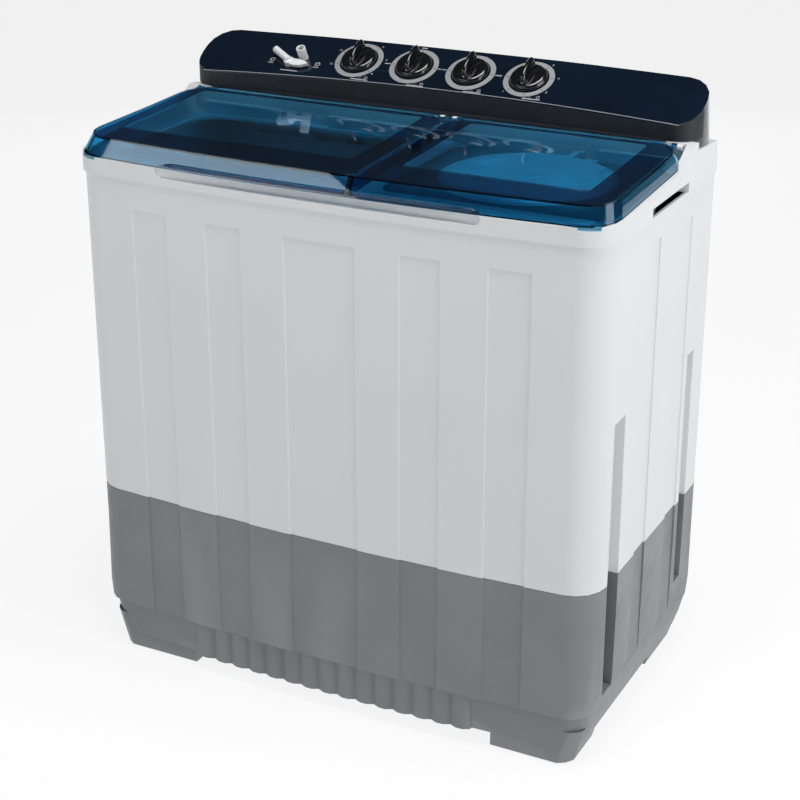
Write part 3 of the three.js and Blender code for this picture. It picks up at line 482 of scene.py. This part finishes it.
def numeral(name, text, x, v, size):
    """Printed text on the face, turned into a mesh."""
    curve = bpy.data.curves.new(name, "FONT")
    curve.body = text
    curve.size = size
    curve.align_x = "CENTER"
    curve.align_y = "CENTER"
    curve.extrude = 0.15 * MM
    label = bpy.data.objects.new(name, curve)
    bpy.context.scene.collection.objects.link(label)
    label.matrix_world = Matrix.Translation(face_point(x, v, 0.2 * MM)) @ Matrix.Rotation(TILT, 4, "X")
    bpy.context.view_layer.update()
    mesh = bpy.data.meshes.new_from_object(label.evaluated_get(bpy.context.evaluated_depsgraph_get()))
    mesh.transform(label.matrix_world)
    bpy.data.objects.remove(label)
    piece = bpy.data.objects.new(name, mesh)
    bpy.context.scene.collection.objects.link(piece)
    mesh.materials.clear()
    mesh.materials.append(MATERIALS["print"])
    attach(piece, "root")


RING_OUTER, RING_INNER = 41 * MM, 32.5 * MM
DIALS = [  # marks round each dial: text and clockwise angle from the foot of the dial, in degrees
    [("3", 215), ("6", 260), ("9", 310), ("12", 70), ("15", 115)],
    [("", 90), ("", 180), ("", 270)],
    [("", 90), ("", 270)],
    [("0", 90), ("1", 40), ("2", 350), ("3", 305), ("4", 260), ("5", 215)],
]


def make_console_print():
    TICK = (2.4 * MM, 0.45 * MM)
    MIDDLE = (RING_OUTER + RING_INNER) / 2
    LABEL_ACROSS, LABEL_UP = 47.5 * MM, 45 * MM
    for index, (x, marks) in enumerate(zip(KNOB_X, DIALS)):
        face_ring(f"dial_ring_{index + 1}", x, KNOB_V, RING_OUTER, RING_INNER)
        for number, (text, degrees) in enumerate(marks):
            angle = -math.pi / 2 - math.radians(degrees)
            tick_x = x + MIDDLE * math.cos(angle)
            tick_v = KNOB_V + MIDDLE * math.sin(angle)
            outline = bar(tick_x, tick_v, *TICK, angle)
            face_slab(f"dial_tick_{index + 1}_{number + 1}", outline, "knob_black",
                      PRINT_HIGH, PRINT_HIGH + 0.1 * MM)
            spot = (x + LABEL_ACROSS * math.cos(angle), KNOB_V + LABEL_UP * math.sin(angle))
            if text:
                numeral(f"dial_number_{index + 1}_{number + 1}", text, *spot, 6.2 * MM)
            else:
                face_slab(f"dial_word_{index + 1}_{number + 1}", bar(*spot, 5 * MM, 0.9 * MM))
        face_slab(f"dial_caption_{index + 1}", bar(x + 20 * MM, 3.6 * MM, 15 * MM, 0.9 * MM))
        face_ring(f"dial_symbol_{index + 1}", x + 30 * MM, 9 * MM, 3 * MM, 2.2 * MM, "print", 28)
    for side, x in (("left", -303 * MM), ("right", -218 * MM)):
        face_ring(f"inlet_symbol_{side}", x, 28 * MM, 4.8 * MM, 2.6 * MM, "silver", 32)
        face_slab(f"inlet_word_{side}", bar(x, 20 * MM, 5 * MM, 0.8 * MM))
    face_slab("inlet_caption", bar(-262 * MM, 6 * MM, 16 * MM, 0.8 * MM))


def make_accent_line():
    """Thin bright strip along the lower edge of the console face."""
    STEPS = 40
    END_X = 415 * MM
    loops = []
    for i in range(STEPS + 1):
        x = -END_X + 2 * END_X * i / STEPS
        back = -FACE_BOW * (x / HALF_WIDTH) ** 2 / math.cos(TILT)
        loops.append([face_point(x, back + v, out) for v, out in (
            (0.9 * MM, -0.4 * MM), (0.9 * MM, 0.45 * MM), (2.3 * MM, 0.45 * MM), (2.3 * MM, -0.4 * MM))])
    vertices, faces = bridge(loops, closed_ends=True)
    add_piece("console_accent_line", vertices, faces, "silver", "root", bevel=0.2 * MM)


SKIRT_RADIUS = 42 * MM  # plan corner radius of the console
SKIRT_Y = 88 * MM  # console front at its two ends
LEDGE_TOP = 896.6 * MM


def console_front(steps=8, along=36):
    """Plan line of the console front from the left end round both corners to the right end."""
    flat = HALF_WIDTH - SKIRT_RADIUS

    def on_corner(side, angle):
        x = side * flat + SKIRT_RADIUS * math.cos(angle)
        y = SKIRT_Y + SKIRT_RADIUS * (1 + math.sin(angle))
        return x, y

    points = [on_corner(-1, math.pi * (1 + i / (2 * steps))) for i in range(steps)]
    points += [(-flat + 2 * flat * i / along, SKIRT_Y) for i in range(along + 1)]
    points += [on_corner(1, math.pi * (1.5 + i / (2 * steps))) for i in range(1, steps + 1)]
    return [(x, y + FACE_BOW * (1 - (x / HALF_WIDTH) ** 2)) for x, y in points]


def make_console_shade_strip():
    """Painted shade: a dark strip laid over the glossy wall under the console face so that it reads dark,
    and a dark foot for it on the white ledge.
    """
    PROUD, BELOW = 0.6 * MM, 1.6 * MM
    low = 898.6 * MM
    loops = []
    for x, y in console_front():
        inward = max(0.0, abs(x) - (HALF_WIDTH - SKIRT_RADIUS)) / SKIRT_RADIUS
        side = math.copysign(inward, x)
        ahead = math.sqrt(max(0.0, 1 - inward * inward))
        top = FACE_Z + (y - FACE_Y) * math.tan(TILT) - BELOW
        outer = (x + side * PROUD, y - ahead * PROUD)
        inner = (x - side * PROUD, y + ahead * PROUD)
        loops.append([Vector((*outer, low)), Vector((*outer, top)),
                      Vector((*inner, top + 0.3 * MM)), Vector((*inner, low))])
    vertices, faces = bridge(loops, closed_ends=True)
    # dark strip of painted shade over the glossy wall
    add_piece("console_shade_strip", vertices, faces, "black_painted_shade", "root", smooth=40)
    front = 86.9 * MM
    loops = []
    for x, y in console_front(steps=1):
        if abs(x) > HALF_WIDTH - SKIRT_RADIUS + 1 * MM:
            continue
        back = y + 0.4 * MM
        loops.append([Vector((x, front, LEDGE_TOP)), Vector((x, front, LEDGE_TOP + 1.4 * MM)),
                      Vector((x, back, LEDGE_TOP + 1.9 * MM)), Vector((x, back, LEDGE_TOP))])
    vertices, faces = bridge(loops, closed_ends=True)
    # dark foot of painted shade on the white ledge
    add_piece("console_foot_shade_strip", vertices, faces, "black_painted_shade", "root", smooth=40)


# ---------- lids ----------
LID_TOP = [(-275 * MM, 882 * MM), (-50 * MM, 890 * MM), (60 * MM, 896 * MM), (85 * MM, 899 * MM)]
LID_SKIN = 3.5 * MM
LIDS = {  # left, right, front and rear of the clear panel and of its frame band, and the lip's two ends
    "wash_lid": {"panel": (-400, 10, -172, 66), "edge": (-422, 42, -222, 74), "lip": (-276, 44)},
    "spin_lid": {"panel": (88, 380, -172, 66), "edge": (54, 422, -222, 74), "lip": (52, 252)},
}


def lid_surface(x, y, drop):
    return Vector((x, y, interpolate(LID_TOP, y) - drop))


def lid_band(name, lid):
    """The darker frame moulded under the rim of the lid's top."""
    x0, x1, y0, y1 = (value * MM for value in lid["edge"])
    outer = []
    for x, y in rounded_loop(x0, x1, y0, y1, 26 * MM):
        bulge = front_shift(x) if y < y0 + 30 * MM else 0
        outer.append((x, y - bulge))
    inner = rounded_loop(*(value * MM for value in lid["panel"]), 10 * MM)
    near, far = LID_SKIN + 0.3 * MM, LID_SKIN + 1.5 * MM
    loops = []
    for loop, drop in ((inner, near), (outer, near), (outer, far), (inner, far)):
        loops.append([lid_surface(x, y, drop) for x, y in loop])
    vertices, faces = bridge(loops, wrap=True)
    add_piece(f"{name}_frame_band", vertices, faces, "lid_dark", name, smooth=40)


def lid_bead(name, lid):
    """A raised bead on the lid round the clear panel."""
    x0, x1, y0, y1 = (value * MM for value in lid["panel"])
    sizes = ((0.0, -0.5), (0.2, 0.35), (1.5, 0.35), (1.9, -0.5))
    loops = []
    for grow, lift in sizes:
        loop = rounded_loop(x0 - grow * MM, x1 + grow * MM, y0 - grow * MM, y1 + grow * MM, 11 * MM)
        loops.append([lid_surface(x, y, -lift * MM) for x, y in loop])
    vertices, faces = bridge(loops, wrap=True)
    add_piece(f"{name}_panel_bead", vertices, faces, "lid_dark", name, smooth=40)


def lid_lip(name, lid):
    """The rounded finger lip under the front edge of the lid, thinner towards its outer end."""
    STEPS, AROUND = 30, 12
    LIP_Y, LIP_Z = -258.6 * MM, 860.5 * MM
    HALF_THICK, HALF_TALL = 3.4 * MM, 4.6 * MM
    angles = [2 * math.pi * k / AROUND for k in range(AROUND)]
    x0, x1 = (value * MM for value in lid["lip"])
    loops = []
    for i in range(STEPS + 1):
        t = i / STEPS
        x = x0 + (x1 - x0) * t
        outer_end = t if name == "wash_lid" else 1 - t
        size = math.sqrt(min(1.0, outer_end * 12 + 0.03))
        y = LIP_Y + FRONT_BOW - front_shift(x)
        z = LIP_Z - 3 * MM * (1 - size)
        loops.append([Vector((x, y + HALF_THICK * size * math.cos(a), z + HALF_TALL * size * math.sin(a)))
                      for a in angles])
    vertices, faces = bridge(loops, closed_ends=True)
    add_piece(f"{name}_finger_lip", vertices, faces, "lid_dark", name, smooth=60)


def make_lids():
    for name, lid in LIDS.items():
        lid_band(name, lid)
        lid_bead(name, lid)
        lid_lip(name, lid)


# ---------- inner spin lid relief ----------
def make_swirl():
    """Curved ribs between a raised hub and a raised rim on the inner lid."""
    BLADES, STEPS = 30, 14
    RIB_START, RIB_LENGTH, RIB_RISE = 30, 74, 1.5 * MM
    section = ((-1, -0.6), (-0.6, 0.6), (0, 1), (0.6, 0.6), (1, -0.6))
    for index in range(BLADES):
        loops = []
        start = 2 * math.pi * index / BLADES
        for i in range(STEPS + 1):
            t = i / STEPS
            radius = (RIB_START + RIB_LENGTH * t) * MM
            angle = start + 0.95 * t * t
            width = (0.8 + 2.6 * math.sin(math.pi * min(1.0, t * 1.02))) * MM
            top = DECK_Z + (9.15 - 2.0 * radius / 0.122) * MM
            rise = RIB_RISE * math.sin(math.pi * min(0.985, max(0.015, t)))
            side = Vector((-math.sin(angle), math.cos(angle), 0))
            middle = INNER_LID + radius * Vector((math.cos(angle), math.sin(angle), 0))
            loops.append([middle + side * width * s + Vector((0, 0, top + rise * h)) for s, h in section])
        vertices, faces = bridge(loops, closed_ends=True)
        name = f"inner_lid_rib_{index + 1}"
        # the ribs take the lighter white of the inner lid, painted light
        add_piece(name, vertices, faces, "white_painted_light", "spin_inner_lid", smooth=50)
    for name, radius, height in (("inner_lid_rim", 0.112, 8.2), ("inner_lid_hub", 0.024, 10.0)):
        loops = []
        for grow, z in ((-3.2, -1.6), (-2.0, 0.6), (0, 1.3), (2.0, 0.6), (3.2, -1.6)):
            loops.append([INNER_LID + Vector((px, py, DECK_Z + (height + z - 1.4) * MM))
                          for px, py in ring_loop(radius + grow * MM, 72)])
        vertices, faces = bridge(loops, wrap=True)
        # the rim and hub take the lighter white of the inner lid, painted light
        add_piece(name, vertices, faces, "white_painted_light", "spin_inner_lid", smooth=50)


# ---------- deck trim seen through the lids ----------
def tube_ring(name, loop, z, radius, material, body):
    """A rounded bead that follows a closed plan outline."""
    AROUND = 10
    count = len(loop)
    middle = Vector((sum(x for x, _ in loop) / count, sum(y for _, y in loop) / count))
    loops = []
    for k in range(AROUND):
        angle = 2 * math.pi * k / AROUND
        ring = []
        for x, y in loop:
            outward = (Vector((x, y)) - middle).normalized()
            ring.append(Vector((x + outward.x * radius * math.cos(angle),
                                y + outward.y * radius * math.cos(angle),
                                z + radius * 0.8 * math.sin(angle))))
        loops.append(ring)
    vertices, faces = bridge(loops, wrap=True)
    add_piece(name, vertices, faces, material, body, smooth=60)


def box_piece(name, low, high, material, body, bevel):
    """A block between two corners with rounded edges."""
    x0, y0, z0 = low
    x1, y1, z1 = high
    loop = [(x0, y0), (x1, y0), (x1, y1), (x0, y1)]
    vertices, faces = bridge([[Vector((x, y, z)) for x, y in loop] for z in (z0, z1)], closed_ends=True)
    return add_piece(name, vertices, faces, material, body, bevel, 3)


def make_deck_trim():
    """Bead round the wash mouth, ledges under the rear of the lids and the step under their front."""
    deck = 852 * MM
    LEDGES = ((-405, -262), (-170, 24), (68, 188), (296, 404))
    LEDGE_FRONT, LEDGE_REAR, LEDGE_HEIGHT = 73 * MM, 86.5 * MM, 19 * MM
    mouth = rounded_loop(-396.5 * MM, 9.5 * MM, -179.5 * MM, 67.5 * MM, 46 * MM)
    tube_ring("wash_mouth_rim", mouth, deck + 0.8 * MM, 2.6 * MM, "white", "root")
    for index, (x0, x1) in enumerate(LEDGES):
        low = (x0 * MM, LEDGE_FRONT, deck + 0.2 * MM)
        high = (x1 * MM, LEDGE_REAR, deck + LEDGE_HEIGHT)
        box_piece(f"deck_ledge_{index + 1}", low, high, "white", "root", 1.5 * MM)
    low = (-380 * MM, -226 * MM, deck + 0.1 * MM)
    high = (404 * MM, -207 * MM, deck + 3.4 * MM)
    box_piece("deck_front_step", low, high, "white", "root", 1.2 * MM)


def make_spin_well():
    """Painted shade: a grey sheet on the floor of the spin compartment, darker than the white deck, with
    a round clearance about the inner lid.
    """
    HOLE = 131.5 * MM
    outside = rounded_loop(66 * MM, 424 * MM, -205 * MM, 72 * MM, 30 * MM)
    hole = []
    for x, y in outside:
        across, along = x - INNER_LID.x, y - INNER_LID.y
        reach = math.hypot(across, along)
        hole.append((INNER_LID.x + HOLE * across / reach, INNER_LID.y + HOLE * along / reach))
    low, high = DECK_Z - 0.3 * MM, DECK_Z + 1.0 * MM
    loops = []
    for loop, z in ((hole, low), (outside, low), (outside, high), (hole, high)):
        loops.append([Vector((x, y, z)) for x, y in loop])
    vertices, faces = bridge(loops, wrap=True)
    # grey sheet of painted shade laid on the white deck, not a part of its own
    add_piece("spin_well_painted_shade", vertices, faces, "white_painted_shade", "root", bevel=0.4 * MM)
    ring = [(INNER_LID.x + px, INNER_LID.y + py) for px, py in ring_loop(HOLE + 0.3 * MM, 96)]
    tube_ring("spin_well_rim", ring, DECK_Z + 1.2 * MM, 1.6 * MM, "white", "root")


def make_floor():
    size = 60.0
    mesh = bpy.data.meshes.new("floor")
    corners = [(-size, -size, 0), (size, -size, 0), (size, size, 0), (-size, size, 0)]
    mesh.from_pydata(corners, [], [(0, 1, 2, 3)])
    floor = bpy.data.objects.new("floor", mesh)
    bpy.context.scene.collection.objects.link(floor)
    nodes = Nodes("floor_paper")
    nodes.feed("Base Color", nodes.blend(nodes.noise(3, 2), (0.13, 0.13, 0.13), (0.15, 0.15, 0.15)))
    nodes.shader.inputs["Roughness"].default_value = 0.9
    nodes.shader.inputs["Emission Color"].default_value = (1, 1, 1, 1)
    nodes.shader.inputs["Emission Strength"].default_value = 0.86
    mesh.materials.append(nodes.material)


place_camera()
place_lights()
MATERIALS = make_materials()
finish_nodes()
make_knobs()
make_console_print()
make_accent_line()
make_console_shade_strip()
make_lids()
make_swirl()
make_deck_trim()
make_spin_well()
make_floor()
